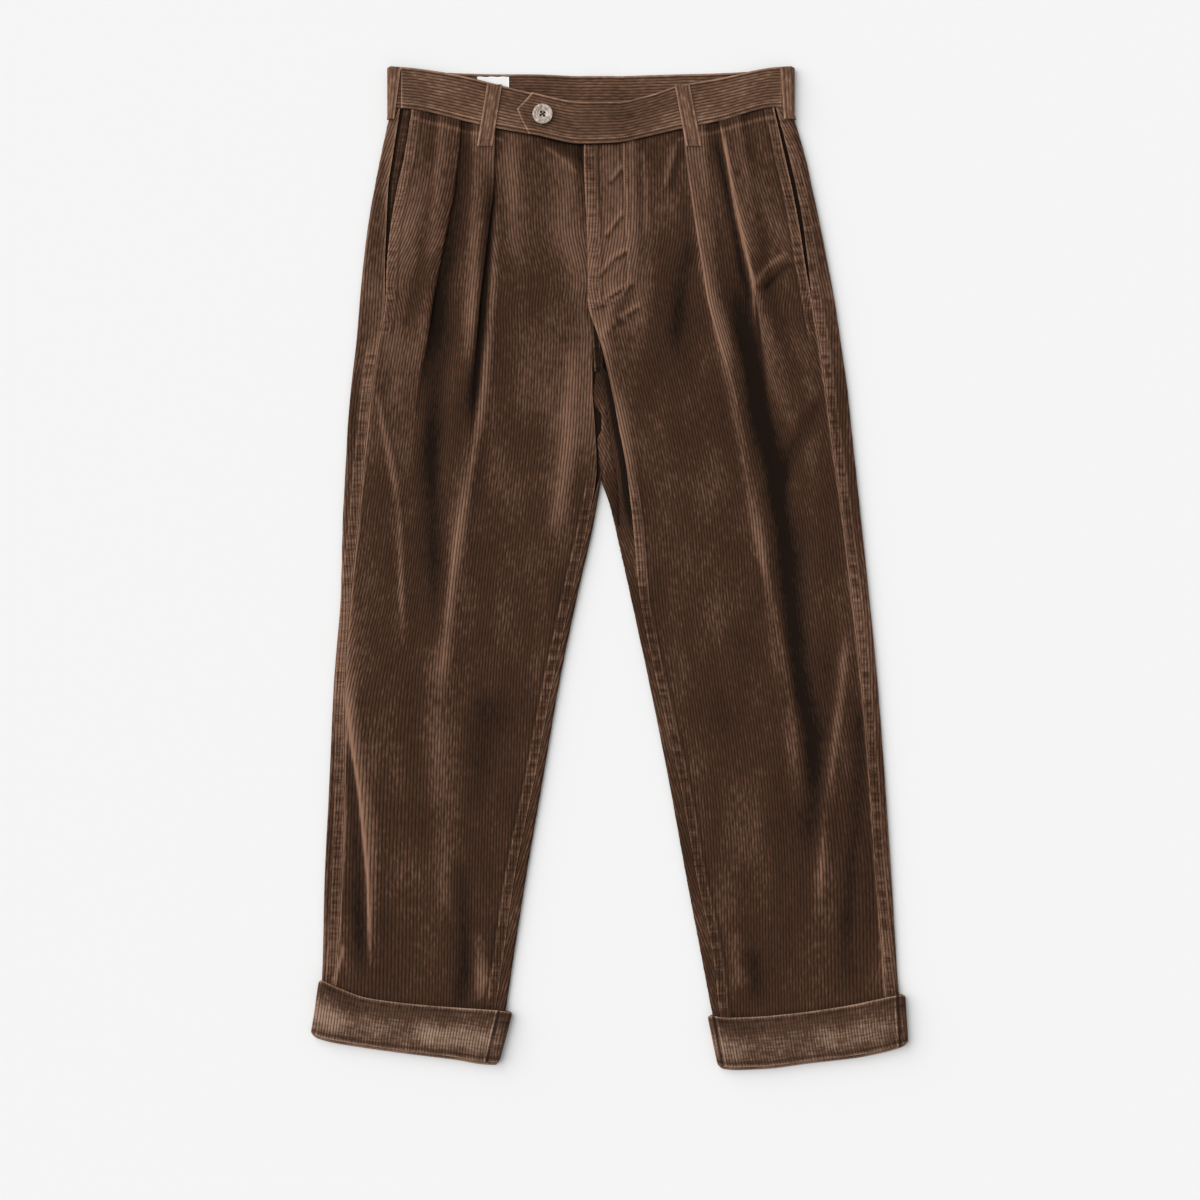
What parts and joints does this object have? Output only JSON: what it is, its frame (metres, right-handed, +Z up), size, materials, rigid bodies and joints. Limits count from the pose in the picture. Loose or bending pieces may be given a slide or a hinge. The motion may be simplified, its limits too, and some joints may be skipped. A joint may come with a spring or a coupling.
{
  "type": "corduroy trousers",
  "caption": "Pleated corduroy trousers laid flat, front up, with turned-up hems, belt loops, side pockets, a fly and a pointed waist tab with a button.",
  "frame": {"origin": "centre of the garment's footprint, on the surface it lies on", "axes": "+Y towards the waist, along the legs; +Z up out of the surface, through the front; +X towards the wearer's left"},
  "size_m": [0.6263, 1.0523, 0.0135],
  "materials": {
    "corduroy": "wide-wale cotton pile, brushed",
    "corduroy_turned_up": "wide-wale cotton pile, worn",
    "corduroy_waistband": "wide-wale cotton pile, worn along the edges",
    "label_cloth": "plain white woven",
    "button": "mottled, satin"
  },
  "bodies": {
    "root": {"front_right": "corduroy", "front_left": "corduroy", "back_right": "corduroy", "back_left": "corduroy", "pocket_facing_right": "corduroy", "pocket_facing_left": "corduroy", "fly_facing": "corduroy", "turnup_right": "corduroy_turned_up", "turnup_left": "corduroy_turned_up", "waistband_right": "corduroy_waistband", "waistband_left": "corduroy_waistband", "waistband_back": "corduroy_waistband", "belt_loop_front_right": "corduroy_waistband", "belt_loop_front_left": "corduroy_waistband", "belt_loop_side_right": "corduroy_waistband", "belt_loop_side_left": "corduroy_waistband", "belt_loop_back": "corduroy_waistband", "label_blank": "label_cloth", "waist_button": "button"}
  },
  "joints": []
}
